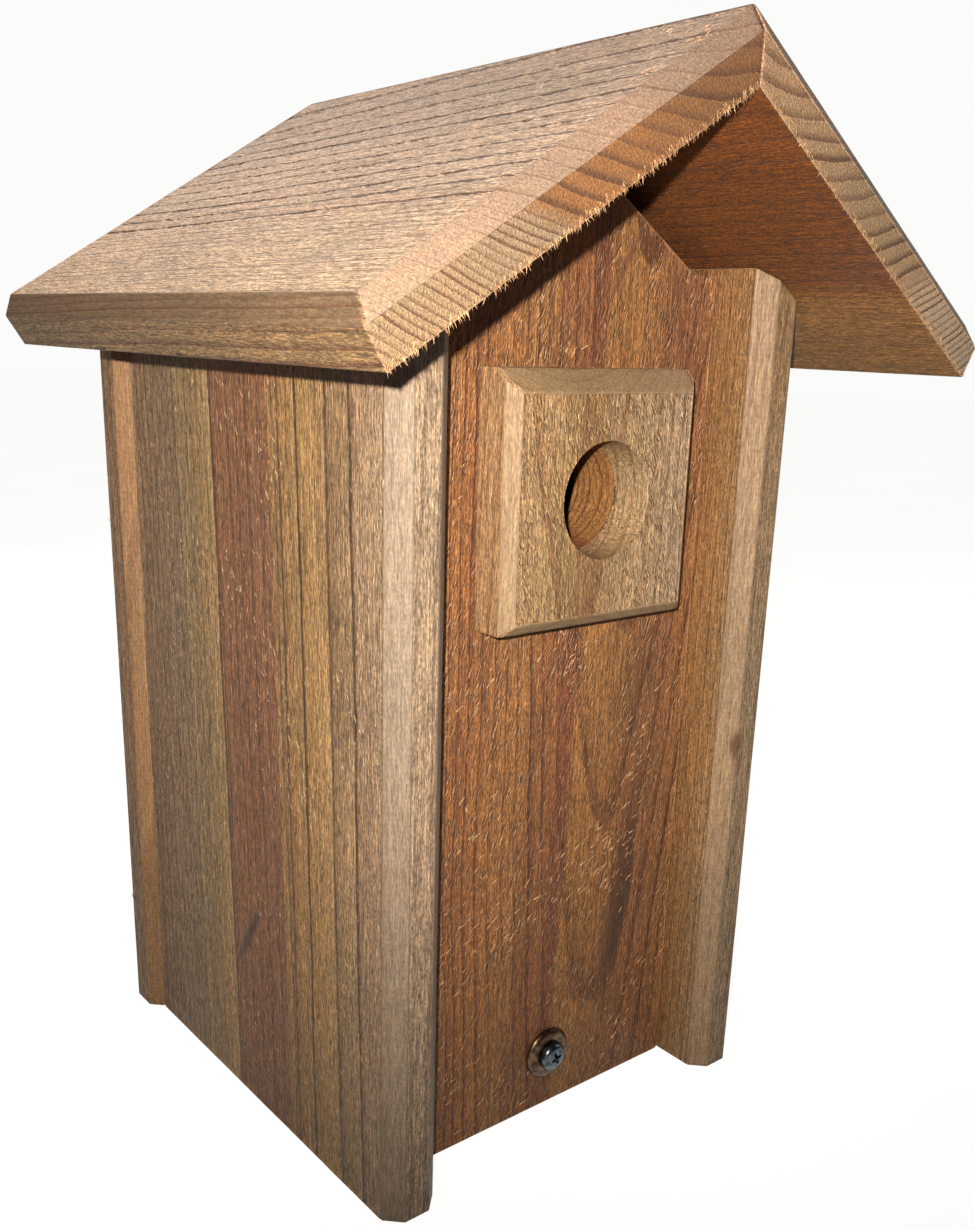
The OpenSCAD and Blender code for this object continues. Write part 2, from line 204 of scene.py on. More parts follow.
# ---------------------------------------------------------------- cedar
# Each board is cut from its own place in a log. order names the axes that run across the
# board, through it and along its grain. heart is where the log's middle lies in the first two,
# in mm, and lean is how many mm the grain drifts across the board for each mm along it.
# tip is the same drift through the board, and sway is how many mm the grain wanders besides.
# ring is the growth of one year in mm; past ring_turn mm from the heart, in the sapwood, it is
# ring_outer. grid is how finely the board's mesh is cut, in mm, before it is split further.
# bands are colours across the board, read at mm across it, or from the heart if by_ring.
# late is the colour of late wood, planed of the planed slopes and hair of torn fibres. end,
# edge and under tint the end grain, the board's edges and its underside: heartwood, sapwood.
# soft and side_lines are how strongly late wood shows on the faces and on the edges, lines is
# the same for the thin dark line that ends a year, and crisp is where in the year it starts.
# hairs is how torn the face is and hair_turn how many degrees off the grain the tears lie.
# ticks is how much the saw's teeth show, dashes the torn gaps in late wood, grit the speckle.
# scars are marks in the wood: middle and half sizes (across, through, along), turn, colour.
BOARDS = {
    "left_wall": dict(
        order="yxz", heart=(-38, -20), lean=0.03, tip=0.012, ring=4.6, ring_outer=3.4, ring_turn=75,
        grid=7.8, slot="cedar_left", body="box", sway=3,
        bands=((-62, "#B99B7A"), (-46, "#A38667"), (-45, "#8E7252"), (-44.6, "#4F3823"),
               (-44, "#4F3823"), (-43.6, "#B3956D"), (-33.9, "#987B57"), (-33.5, "#4F3823"),
               (-32.9, "#4F3823"), (-32.5, "#BC9867"), (-20.2, "#AC8653"), (-19.8, "#4E341F"),
               (-19.2, "#4E341F"), (-18.8, "#B89462"), (-10.6, "#A57D4F"), (-10.2, "#4E321E"),
               (-9.6, "#4E321E"), (-9.2, "#B48F60"), (-4.6, "#A57C4E"), (-3.6, "#94694A"),
               (12, "#906547"), (29, "#966C4C"), (29.4, "#503822"), (30, "#503822"),
               (30.5, "#C2A173"), (39, "#AE9064"), (46, "#A38A66"), (50, "#B0966B"), (54, "#9C8466"),
               (86, "#9E8267")),
        late="#4E3826", edge=("#E0E6EE",) * 2, planed="#8A7C6B", hair="#E2CAA0", hair_turn=-5,
        hairs=0.35, ticks=0.35, dashes=0.0, lines=0.55, soft=0.55, side_lines=0.3,
        scars=(((16.4, -73.5, 59.6), (2.0, 6, 18), 33, "#3E2617"),
               ((40, -73.5, 118), (0.8, 4, 9), 12, "#59422C"))),
    "right_wall": dict(
        order="yxz", heart=(30, 15), lean=-0.03, tip=0.02, ring=4.2, ring_outer=3.2, ring_turn=70,
        grid=7.8, slot="cedar_right", body="box", sway=7,
        bands=((-62, "#A88D6A"), (-52, "#987448"), (-38, "#916537"), (-24, "#86603A"),
               (20, "#845B3A"), (50, "#8E6A42"), (86, "#816645")),
        late="#5E3C22", edge=("#E9EEF4",) * 2, planed="#9D8569", hair="#E2C79A", hair_turn=10,
        hairs=0.3, ticks=0.4, dashes=0.0, lines=0.6, side_lines=0.3,
        scars=(((-62, 60, 119), (3, 2.6, 5), 20, "#5B3A22"),
               ((-62, 62, 112), (3, 1.0, 6), 40, "#7A5230"))),
    "back_board": dict(
        order="xyz", heart=(15, 150), lean=0.02, tip=-0.015, ring=3.4, ring_outer=2.8, ring_turn=80,
        grid=7.1, slot="cedar_back", body="box", sway=9,
        bands=((-76, "#9C7D5C"), (-60, "#A37D55"), (-40, "#9B7650"), (-15, "#93694A"),
               (10, "#8A6045"), (35, "#946D4B"), (60, "#A08360"), (78, "#A98F6C")),
        late="#553A25", planed="#A9835C", hair="#E2C79C", hair_turn=16, hairs=0.45, ticks=0.6, dashes=0.0,
        lines=0.6, scars=(((-38, 99.5, 205), (4.5, 5, 6.5), 8, "#5A3520"),
                          ((31, 99.5, 92), (3.2, 5, 4.4), -12, "#63402A"))),
    "floor_board": dict(
        order="yzx", heart=(10, 80), lean=0.02, tip=0.0, ring=3.4, ring_outer=2.8, ring_turn=80,
        grid=8, slot="cedar_floor", body="box", sway=7,
        bands=((-30, "#A98055"), (0, "#96704B"), (40, "#8D6848"), (86, "#A08058")),
        late="#553A25", planed="#D3B28A", hair="#E0C49A", hair_turn=12, hairs=0.4, ticks=0.5, dashes=0.0,
        lines=0.6, scars=()),
    "front_door": dict(
        order="xyz", heart=(22, 20), lean=0.03, tip=0.045, ring=2.7, ring_outer=2.5, ring_turn=84,
        grid=6.5, slot="cedar_front", body="front", sway=8,
        bands=((-54, "#A1723F"), (-42, "#97683A"), (-38, "#895A33"), (-31, "#946436"),
               (-16, "#9E6F3F"), (-13, "#8A5C34"), (-2, "#8F5D36"), (1, "#794A2C"), (5, "#815132"),
               (8, "#9C6F3C"), (24, "#976A3D"), (30, "#8C603A"), (42, "#90623F"), (54, "#9B6D40")),
        late="#552F1B", planed="#B08259", hair="#D6A878", hair_turn=-20, hairs=0.9, ticks=0.35, dashes=0.0,
        lines=1.1, scars=(((29, -44, 70), (5.0, 9, 42), -8, "#55361F"),
                           ((31, -44, 60), (2.6, 6, 30), -8, "#452A18"),
                           ((16, -44, 262), (1.2, 6, 14), -28, "#6E452C"),
                           ((39, -44, 250), (1.1, 6, 17), 12, "#6E452C"))),
    "entrance_block": dict(
        order="xyz", heart=(-8, 6), lean=-0.03, tip=0.05, ring=2.9, ring_outer=2.6, ring_turn=80,
        grid=4, slot="cedar_block", body="front", sway=7,
        bands=((-35, "#997B57"), (-31, "#9D7F5C"), (-28, "#A48660"), (-12, "#9D7E51"),
               (-8, "#8D6A44"), (-1, "#937048"), (3, "#9D7F5B"), (16, "#AC916B"), (35, "#AB9378")),
        late="#7C5430", planed="#9A8464", hair="#D2AE7C", hair_turn=28, hairs=1.2, ticks=0.1, dashes=0.0,
        lines=0.7, scars=(((-5, -58, 176), (0.9, 5, 12), -27, "#8A5F38"),)),
    "roof_left": dict(
        order="xzy", heart=(-28, 400), lean=0.0, tip=0.015, ring=4.3, ring_outer=1.9, ring_turn=140,
        grid=5.3, slot="cedar_roof_left", body="box", by_ring=True, sway=4,
        bands=((84, "#937B65"), (112, "#A88F77"), (133, "#B6997D"), (137, "#B09175"),
               (142, "#B5997C"), (160, "#B69979"), (185, "#B69974")),
        late="#5A3A24", planed="#8F7968", hair="#EFDCC4", hair_turn=8, hairs=0.4, ticks=0.25, dashes=1.0,
        lines=1.0, soft=0.15, side_lines=2.4, crisp=0.84, end=("#CDAB7C", "#D1D3CE"),
        edge=("#C6C0AD",) * 2, under=("#90603A", "#A9824C"), grit=0.5, scars=()),
    "roof_right": dict(
        order="xzy", heart=(20, 396), lean=0.0, tip=-0.01, ring=4.4, ring_outer=2.1, ring_turn=145,
        grid=5.3, slot="cedar_roof_right", body="box", by_ring=True, sway=4,
        bands=((84, "#B0917C"), (125, "#B8997F"), (143, "#B89C82"), (149, "#BFA78C"),
               (185, "#B8A68A")),
        late="#57351D", planed="#B29B83", hair="#F0DCB8", hair_turn=8, hairs=0.4, ticks=0.25, dashes=0.9,
        lines=1.0, soft=0.35, side_lines=2.4, crisp=0.84, end=("#E7E4CC", "#FFFFFA"),
        edge=("#C8B19C",) * 2, under=("#9B6E34", "#BA9758"), grit=0.5, scars=()),
}


PITCH = math.radians(32)  # the roof's slope
ENTRANCE_Z, ENTRANCE_R = 200, 16  # the entrance hole's height and radius
FACE_KINDS = ("planed", "end", "dressed", "edge", "under")
LEVEL = 130  # the bands and the heart are read at this distance along the grain, in mm
SPLITS = 2  # how often each face of a board's mesh is split in four before it is carved


def growth(tree, wood):
    """The log's own shape at a point: mm across, mm from the heart, and the year's ring.

    Works in a material and in a geometry tree alike, so colour and carved relief agree.
    """
    if tree.bl_idname == "GeometryNodeTree":
        place = add(tree, "GeometryNodeInputPosition")
    else:
        place = add(tree, "ShaderNodeTexCoord", out="Object")
    mm = add(tree, "ShaderNodeVectorMath", {0: place, "Scale": 1000.0}, operation="SCALE")
    apart = add(tree, "ShaderNodeSeparateXYZ", {0: mm}).node
    across, through, along = (apart.outputs["xyz".index(axis)] for axis in wood["order"])
    log = add(tree, "ShaderNodeCombineXYZ", {0: across, 1: through, 2: along})
    # The grain wanders by a few mm over about 200 mm of length.
    drift = grained(tree, log, (0.018, 0.018, 0.0045))
    sway = add(tree, "ShaderNodeMath", {0: drift, 1: 2.0 * wood["sway"], 2: -wood["sway"]},
               operation="MULTIPLY_ADD")
    level = add(tree, "ShaderNodeMath", {0: along, 1: LEVEL}, operation="SUBTRACT")
    lean = add(tree, "ShaderNodeMath", {0: level, 1: -wood["lean"], 2: sway}, operation="MULTIPLY_ADD")
    across = add(tree, "ShaderNodeMath", {0: across, 1: lean}, operation="ADD")
    tip = add(tree, "ShaderNodeMath", {0: along, 1: wood["tip"], 2: through}, operation="MULTIPLY_ADD")
    spot = add(tree, "ShaderNodeCombineXYZ", {0: across, 1: tip, 2: 0.0})
    reach = add(tree, "ShaderNodeVectorMath", {0: spot, 1: (*wood["heart"], 0.0)}, out=1,
                operation="DISTANCE")
    years = add(tree, "ShaderNodeMath", {0: reach, 1: wood["ring"]}, operation="DIVIDE")
    outer = add(tree, "ShaderNodeMath", {0: reach, 1: wood["ring_turn"]}, operation="SUBTRACT")
    outer = add(tree, "ShaderNodeMath", {0: outer, 1: 0.0}, operation="MAXIMUM")
    extra = 1 / wood["ring_outer"] - 1 / wood["ring"]
    years = add(tree, "ShaderNodeMath", {0: outer, 1: extra, 2: years}, operation="MULTIPLY_ADD")
    # A year's edge is ragged by up to a tenth of its width, and no two years are as wide.
    for size, much in (((1.3, 1.3, 0.3), 0.16), ((0.03, 0.03, 0.005), 1.5)):
        rag = grained(tree, log, size)
        years = add(tree, "ShaderNodeMath", {0: rag, 1: much, 2: years}, operation="MULTIPLY_ADD")
    part = add(tree, "ShaderNodeMath", {0: years}, operation="FRACT")
    year = add(tree, "ShaderNodeMath", {0: years}, operation="FLOOR")
    strength = add(tree, "ShaderNodeTexWhiteNoise", {"W": year}, noise_dimensions="1D")
    found = dict(log=log, across=across, reach=reach, part=part, strength=strength, along=along)
    fall = add(tree, "ShaderNodeMapRange", {0: part, 1: 0.96, 2: 1.0, 3: 1.0, 4: 0.0})
    crisp = wood.get("crisp", 0.72)
    for name, start, full in (("late", 0.45, 0.96), ("line", crisp, 0.5 * crisp + 0.5)):
        rise = add(tree, "ShaderNodeMapRange", {0: part, 1: start, 2: full},
                   interpolation_type="SMOOTHSTEP")
        found[name] = add(tree, "ShaderNodeMath", {0: rise, 1: fall}, operation="MULTIPLY")
    # Torn gaps along the late wood, about 1 mm wide and 3 mm long, nearly all in the heartwood.
    gap = grained(tree, log, (0.9, 0.9, 0.3), 3.0, 0.7)
    bold = add(tree, "ShaderNodeMath", {0: strength, 1: 0.13, 2: gap}, operation="MULTIPLY_ADD")
    gap = add(tree, "ShaderNodeMapRange", {0: bold, 1: 0.51, 2: 0.58}, interpolation_type="SMOOTHSTEP")
    torn = add(tree, "ShaderNodeMath", {0: found["line"], 1: gap}, operation="MULTIPLY")
    turn = wood["ring_turn"]
    heartwood = add(tree, "ShaderNodeMapRange", {0: reach, 1: turn, 2: turn + 4, 3: 1.0, 4: 0.12})
    found["torn"] = add(tree, "ShaderNodeMath", {0: torn, 1: heartwood}, operation="MULTIPLY")
    return found


def cedar(name, wood):
    """Western red cedar, rough sawn on its faces and planed on its slopes.

    It is dull and fibrous: darker late wood in fine lines, torn pale fibres that catch the
    light on the sawn faces with a painted shadow beside each tuft, and smooth paler slopes.
    The end grain shows the rings edge-on.
    """
    made, tree = blank_material("rough_sawn_cedar_" + name)
    grow = growth(tree, wood)
    log, late, torn = grow["log"], grow["late"], grow["torn"]
    planed, end, dressed, edge, under = (add(tree, "ShaderNodeAttribute", out="Fac", attribute_name=label)
                                         for label in FACE_KINDS)
    smooth = add(tree, "ShaderNodeMath", {0: planed, 1: dressed}, operation="MAXIMUM")
    face = add(tree, "ShaderNodeMath", {0: 1.0, 1: smooth}, operation="SUBTRACT", use_clamp=True)
    face = add(tree, "ShaderNodeMath", {0: face, 1: end}, operation="SUBTRACT", use_clamp=True)

    # Broad colour across the board, or from the heart outwards.
    low, high = wood["bands"][0][0], wood["bands"][-1][0]
    read = grow["reach"] if wood.get("by_ring") else grow["across"]
    ripple = grained(tree, log, (0.5, 0.5, 0.05), 3.0)
    read = add(tree, "ShaderNodeMath", {0: ripple, 1: 1.2, 2: read}, operation="MULTIPLY_ADD")
    where = add(tree, "ShaderNodeMapRange", {0: read, 1: low + 0.6, 2: high + 0.6})
    stops = [((mm - low) / (high - low), code) for mm, code in wood["bands"]]
    colour = add(tree, "ShaderNodeValToRGB", {0: where}, stops=stops)

    # Planed slopes show fresh, paler wood; end grain, the board's edges and its underside take their own
    # heartwood and sapwood tints.
    share = add(tree, "ShaderNodeMath", {0: planed, 1: 0.75}, operation="MULTIPLY")
    colour = add(tree, "ShaderNodeMix", {0: share, 6: colour, 7: linear(wood["planed"])}, out=2,
                 data_type="RGBA")
    turn = wood["ring_turn"]
    sap = add(tree, "ShaderNodeMapRange", {0: grow["reach"], 1: turn - 3, 2: turn + 3})
    for label, much in (("end", end), ("edge", edge), ("under", under)):
        if label in wood:
            inner, outer = (linear(code) for code in wood[label])
            tint = add(tree, "ShaderNodeMix", {0: sap, 6: inner, 7: outer}, out=2, data_type="RGBA")
            colour = add(tree, "ShaderNodeMix", {0: much, 6: colour, 7: tint}, out=2, data_type="RGBA",
                         blend_type="MULTIPLY")

    # Late wood, stronger in some years than in others, then a paler start to the next year.
    weight = add(tree, "ShaderNodeMapRange", {0: grow["strength"], 3: 0.15, 4: 0.6})
    soft = wood.get("soft", 1.0)
    shown = add(tree, "ShaderNodeMath", {0: end, 1: 2.2 - soft, 2: soft}, operation="MULTIPLY_ADD")
    shown = add(tree, "ShaderNodeMath", {0: edge, 1: wood.get("side_lines", soft) - soft, 2: shown},
                operation="MULTIPLY_ADD")
    lines = add(tree, "ShaderNodeMath", {0: late, 1: weight}, operation="MULTIPLY")
    lines = add(tree, "ShaderNodeMath", {0: lines, 1: shown}, operation="MULTIPLY", use_clamp=True)
    thin = add(tree, "ShaderNodeMapRange", {0: grow["strength"], 3: 0.3 * wood["lines"], 4: wood["lines"]})
    thin = add(tree, "ShaderNodeMath", {0: thin, 1: grow["line"]}, operation="MULTIPLY")
    lines = add(tree, "ShaderNodeMath", {0: lines, 1: thin}, operation="MAXIMUM")
    ease = add(tree, "ShaderNodeMath", {0: planed, 1: -0.4, 2: 1.0}, operation="MULTIPLY_ADD")
    lines = add(tree, "ShaderNodeMath", {0: lines, 1: ease}, operation="MULTIPLY")
    lines = add(tree, "ShaderNodeMath", {0: lines, 1: 0.85}, operation="MINIMUM")
    colour = add(tree, "ShaderNodeMix", {0: lines, 6: colour, 7: linear(wood["late"])}, out=2,
                 data_type="RGBA")
    early = add(tree, "ShaderNodeMapRange", {0: grow["part"], 1: 0.0, 2: 0.16, 3: 1.1, 4: 1.0})
    colour = add(tree, "ShaderNodeMix", {0: 1.0, 6: colour, 7: early}, out=2, data_type="RGBA",
                 blend_type="MULTIPLY")

    # Fibre bundles 0.8 mm wide and 20 mm long, finer ones of 0.35 by 3.5 mm, and a grit of torn
    # ends, 0.4 by 1.1 mm.
    shades = []
    quiet = add(tree, "ShaderNodeMath", {0: end, 1: planed}, operation="MAXIMUM")
    quiet = add(tree, "ShaderNodeMath", {0: quiet, 1: -0.5, 2: 1.0}, operation="MULTIPLY_ADD")
    for size, spread in (((1.3, 1.3, 0.05), 0.25), ((2.8, 2.8, 0.28), 0.48),
                         ((2.4, 2.4, 0.9), wood.get("grit", 0.42))):
        streak = grained(tree, log, size)
        shades.append(streak)
        tone = add(tree, "ShaderNodeMapRange", {0: streak, 1: 0.33, 2: 0.67, 3: 1 - spread, 4: 1 + spread})
        colour = add(tree, "ShaderNodeMix", {0: quiet, 6: colour, 7: tone}, out=2, data_type="RGBA",
                     blend_type="MULTIPLY")

    # Cloudy patches of warmer and greyer wood, about 30 mm across and 80 mm long.
    cloud = grained(tree, log, (0.035, 0.035, 0.012), 3.0)
    cloud = add(tree, "ShaderNodeValToRGB", {0: cloud}, stops=((0.3, "#E6E2DC"), (0.7, "#FFF3EA")))
    colour = add(tree, "ShaderNodeMix", {0: 1.0, 6: colour, 7: cloud}, out=2, data_type="RGBA",
                 blend_type="MULTIPLY")

    # Torn gaps in the late wood of the rough face.
    holes = add(tree, "ShaderNodeMath", {0: torn, 1: wood["dashes"]}, operation="MULTIPLY")
    holes = add(tree, "ShaderNodeMath", {0: holes, 1: face}, operation="MULTIPLY", use_clamp=True)
    colour = add(tree, "ShaderNodeMix", {0: holes, 6: colour, 7: linear("#4C301E")}, out=2,
                 data_type="RGBA")

    # Tufts torn up by the saw, about 0.8 mm wide and 4 mm long, at a slant to the grain. Each
    # has a pale back and, 0.45 mm beside it, a dent painted dark as its shadow. They are wider
    # than real fibres, to show.
    patch = grained(tree, log, (0.13, 0.13, 0.045))
    chance = add(tree, "ShaderNodeMapRange", {0: patch, 1: 0.38, 2: 0.62, 3: 0.25, 4: 1.0})
    marks = []
    bent = add(tree, "ShaderNodeVectorMath", {0: ripple, "Scale": 1.6}, operation="SCALE")
    bent = add(tree, "ShaderNodeVectorMath", {0: log, 1: bent}, operation="ADD")
    for aside, least in ((0.0, 0.64 - 0.07 * wood["hairs"]), (0.45, 0.62 - 0.07 * wood["hairs"])):
        slanted = add(tree, "ShaderNodeVectorRotate", {"Vector": bent, "Axis": (0, 1, 0),
                      "Angle": math.radians(wood["hair_turn"])}, rotation_type="AXIS_ANGLE")
        slanted = add(tree, "ShaderNodeVectorMath", {0: slanted, 1: (aside, 0, 0)}, operation="ADD")
        tuft = grained(tree, slanted, (1.2, 0.6, 0.26), 1.5)
        shape = add(tree, "ShaderNodeMapRange", {0: tuft, 1: least, 2: least + 0.1},
                    interpolation_type="SMOOTHSTEP")
        shape = add(tree, "ShaderNodeMath", {0: shape, 1: chance}, operation="MULTIPLY")
        shape = add(tree, "ShaderNodeMath", {0: shape, 1: face}, operation="MULTIPLY")
        marks.append(add(tree, "ShaderNodeMath", {0: shape, 1: wood["hairs"]}, operation="MULTIPLY",
                         use_clamp=True))
    hair, dent_and_painted_shade = marks
    # The offset second mark is painted shadow: it darkens the wood beside each tuft toward the late wood's
    # colour, and it also dents the face.
    dent_and_painted_shade = add(tree, "ShaderNodeMath", {0: dent_and_painted_shade, 1: 0.85}, operation="MULTIPLY")
    colour = add(tree, "ShaderNodeMix", {0: dent_and_painted_shade, 6: colour, 7: linear(wood["late"])}, out=2,
                 data_type="RGBA")
    frayed = add(tree, "ShaderNodeMapRange", {0: shades[2], 1: 0.35, 2: 0.65, 3: 0.1, 4: 1.0})
    pale = add(tree, "ShaderNodeMath", {0: hair, 1: frayed}, operation="MULTIPLY")
    colour = add(tree, "ShaderNodeMix", {0: pale, 6: colour, 7: linear(wood["hair"])}, out=2,
                 data_type="RGBA")

    # Marks of the saw's teeth, 1.6 mm apart, straight across the board.
    teeth = add(tree, "ShaderNodeMath", {0: grow["along"], 1: 3.9}, operation="MULTIPLY")
    teeth = add(tree, "ShaderNodeMath", {0: shades[0], 1: 3.0, 2: teeth}, operation="MULTIPLY_ADD")
    teeth = add(tree, "ShaderNodeMath", {0: teeth}, operation="SINE")
    broken = add(tree, "ShaderNodeMath", {0: patch, 1: teeth}, operation="MULTIPLY")
    mark = add(tree, "ShaderNodeMath", {0: broken, 1: 0.16 * wood["ticks"], 2: 1.0},
               operation="MULTIPLY_ADD")
    colour = add(tree, "ShaderNodeMix", {0: 1.0, 6: colour, 7: mark}, out=2, data_type="RGBA",
                 blend_type="MULTIPLY")

    # Knots, bark streaks and gashes, with ragged edges that fade out.
    for middle, half, turn, code in wood["scars"]:
        spot = add(tree, "ShaderNodeVectorMath", {0: log, 1: middle}, operation="SUBTRACT")
        spot = add(tree, "ShaderNodeVectorRotate", {"Vector": spot, "Axis": (0, 1, 0),
                   "Angle": math.radians(turn)}, rotation_type="AXIS_ANGLE")
        spot = add(tree, "ShaderNodeVectorMath", {0: spot, 1: tuple(1 / h for h in half)},
                   operation="MULTIPLY")
        spot = add(tree, "ShaderNodeVectorMath", {0: spot}, out=1, operation="LENGTH")
        spot = add(tree, "ShaderNodeMath", {0: shades[0], 1: 1.3, 2: spot}, operation="MULTIPLY_ADD")
        spot = add(tree, "ShaderNodeMapRange", {0: spot, 1: 1.95, 2: 1.0, 4: 0.85},
                   interpolation_type="SMOOTHSTEP")
        colour = add(tree, "ShaderNodeMix", {0: spot, 6: colour, 7: linear(code)}, out=2,
                     data_type="RGBA")

    # Height, in mm: fibres, grit, lifted hairs, torn gaps and saw marks.
    height = add(tree, "ShaderNodeMath", {0: shades[0], 1: 0.30}, operation="MULTIPLY")
    for source, depth in ((shades[1], 0.22), (shades[2], 0.3), (hair, 0.35), (dent_and_painted_shade, -0.3),
                          (holes, -0.6), (broken, 0.05 * wood["ticks"]), (grow["line"], -0.1)):
        height = add(tree, "ShaderNodeMath", {0: source, 1: depth, 2: height}, operation="MULTIPLY_ADD")
    calm = add(tree, "ShaderNodeMath", {0: smooth, 1: -0.7, 2: 1.0}, operation="MULTIPLY_ADD")
    height = add(tree, "ShaderNodeMath", {0: height, 1: calm}, operation="MULTIPLY")
    bump = add(tree, "ShaderNodeBump", {"Strength": 1.0, "Distance": MM, "Height": height})

    rough = add(tree, "ShaderNodeMapRange", {0: shades[1], 1: 0.3, 2: 0.7, 3: 0.85, 4: 0.55})
    shader = add(tree, "ShaderNodeBsdfPrincipled", {"Base Color": colour, "Roughness": rough, "IOR": 1.5,
                 "Normal": bump})
    add(tree, "ShaderNodeOutputMaterial", {"Surface": shader})
    return made


def relief_tree(name, wood):
    """Carves the board's face: a slow unevenness, saw ripple, and grooves at the torn late wood."""
    tree = bpy.data.node_groups.new("relief_" + name, "GeometryNodeTree")
    face = tree.interface
    face.new_socket("Board", in_out="INPUT", socket_type="NodeSocketGeometry")
    sizes = {}
    for label in ("Unevenness", "Ripple", "Groove"):
        sizes[label] = face.new_socket(label, in_out="INPUT", socket_type="NodeSocketFloat").identifier
    face.new_socket("Board", in_out="OUTPUT", socket_type="NodeSocketGeometry")
    given = add(tree, "NodeGroupInput").node.outputs
    grow = growth(tree, wood)
    slow = grained(tree, grow["log"], (0.09, 0.09, 0.03), 3.0)
    slow = add(tree, "ShaderNodeMath", {0: slow, 1: given["Unevenness"]}, operation="MULTIPLY")
    fast = grained(tree, grow["log"], (0.5, 0.5, 0.14))
    deep = add(tree, "ShaderNodeMath", {0: fast, 1: given["Ripple"], 2: slow}, operation="MULTIPLY_ADD")
    planed, end, dressed = (
        add(tree, "GeometryNodeInputNamedAttribute", {"Name": label}, data_type="FLOAT")
        for label in FACE_KINDS[:3])
    planed = add(tree, "ShaderNodeMath", {0: planed, 1: dressed}, operation="MAXIMUM")
    open_face = add(tree, "ShaderNodeMath", {0: 1.0, 1: planed}, operation="SUBTRACT", use_clamp=True)
    flat = add(tree, "ShaderNodeMath", {0: open_face, 1: end}, operation="SUBTRACT", use_clamp=True)
    groove = add(tree, "ShaderNodeMath", {0: grow["torn"], 1: given["Groove"]}, operation="MULTIPLY")
    groove = add(tree, "ShaderNodeMath", {0: groove, 1: flat}, operation="MULTIPLY")
    ease = add(tree, "ShaderNodeMath", {0: planed, 1: -0.7, 2: 1.0}, operation="MULTIPLY_ADD")
    deep = add(tree, "ShaderNodeMath", {0: deep, 1: ease}, operation="MULTIPLY")
    deep = add(tree, "ShaderNodeMath", {0: deep, 1: groove}, operation="ADD")
    deep = add(tree, "ShaderNodeMath", {0: deep, 1: -MM}, operation="MULTIPLY")
    normal = add(tree, "GeometryNodeInputNormal")
    move = add(tree, "ShaderNodeVectorMath", {0: normal, "Scale": deep}, operation="SCALE")
    moved = add(tree, "GeometryNodeSetPosition", {"Geometry": given["Board"], "Offset": move})
    add(tree, "NodeGroupOutput", {0: moved})
    return tree, sizes


def cut_board(name, wood, material):
    """A board: the CAD shape with eased arrises, cut fine enough to carve, then carved."""
    bm = bmesh.new()
    bm.from_mesh(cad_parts[name].data)
    bmesh.ops.remove_doubles(bm, verts=bm.verts, dist=2e-6)
    bmesh.ops.dissolve_limit(bm, angle_limit=math.radians(1), verts=bm.verts, edges=bm.edges)
    shortest, sharpest, eased = 1.3 * MM, math.radians(24), 0.5 * MM
    arrises = [e for e in bm.edges if len(e.link_faces) == 2 and e.calc_length() > shortest
               and e.calc_face_angle() > sharpest]
    bmesh.ops.bevel(bm, geom=arrises, offset=eased, segments=2, profile=0.6, affect="EDGES",
                    clamp_overlap=True)
    bm.normal_update()
    grain = Vector([axis == wood["order"][2] for axis in "xyz"])
    kinds = {label: bm.faces.layers.float.new(label) for label in FACE_KINDS}
    tilt = {"roof_left": -1, "roof_right": 1}.get(name, 0)
    through = Vector([axis == wood["order"][1] for axis in "xyz"])
    main = Vector((tilt * math.sin(PITCH), 0, math.cos(PITCH))) if tilt else through
    across = Vector([float(axis == wood["order"][0]) for axis in "xyz"])
    # Smaller faces than this belong to an eased arris or a bore.
    least_area, least_round = 12 * MM * MM, 60 * MM
    for f in bm.faces:
        middle, facing = f.calc_center_median() / MM, abs(f.normal.dot(main))
        big = f.calc_area() > least_area and f.calc_perimeter() > least_round
        bore = facing < 0.5 and not tilt and math.hypot(middle.x, middle.z - ENTRANCE_Z) < ENTRANCE_R + 0.3
        end = abs(f.normal.dot(grain)) > (0.9 if big else 0.4)
        f[kinds["planed"]] = float(big and not bore and not end and 0.02 < facing < 0.995)
        f[kinds["end"]] = float(end and not bore)
        planed_down = facing < 0.9 or tilt and f.normal.dot(main) < -0.9
        f[kinds["dressed"]] = float(bore or not end and planed_down)
        side = facing < 0.97 and abs(f.normal.y) < 0.2 if tilt else abs(f.normal.dot(across)) > 0.98
        f[kinds["edge"]] = float(side and not end)
        f[kinds["under"]] = float(bool(tilt) and f.normal.dot(main) < -0.97)
        f.smooth = True
    low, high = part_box(name)
    step = wood["grid"] * MM
    for axis in range(3):
        count = int((high[axis] - low[axis]) / step)
        for i in range(1, count + 1):
            spot, way = Vector(low), Vector((0, 0, 0))
            spot[axis] += i * (high[axis] - low[axis]) / (count + 1)
            way[axis] = 1
            bmesh.ops.bisect_plane(bm, geom=bm.verts[:] + bm.edges[:] + bm.faces[:], dist=1e-7,
                                   plane_co=spot, plane_no=way)
    mesh = bpy.data.meshes.new(name + "_sawn")
    bm.to_mesh(mesh)
    bm.free()
    board = keep(mesh, name + "_sawn")
    fine = board.modifiers.new("fine", "SUBSURF")
    fine.subdivision_type = "SIMPLE"
    fine.levels = fine.render_levels = SPLITS
    carve = board.modifiers.new("carve", "NODES")
    tree, sizes = relief_tree(name, wood)
    carve.node_group = tree
    for label, depth in (("Unevenness", 0.5), ("Ripple", 0.22), ("Groove", 0.6 * wood["dashes"])):
        carve[sizes[label]] = depth
    baked(board)
    board.data.materials.clear()
    board.data.materials.append(material)
    board.data.polygons.foreach_set("material_index", [0] * len(board.data.polygons))
    board.data.set_sharp_from_angle(angle=math.radians(50))
    declare(board, wood["body"], wood["slot"], name)
    return board


# ---------------------------------------------------------------- metal
HEAD_H = 3.0  # height of the door screw's pan head


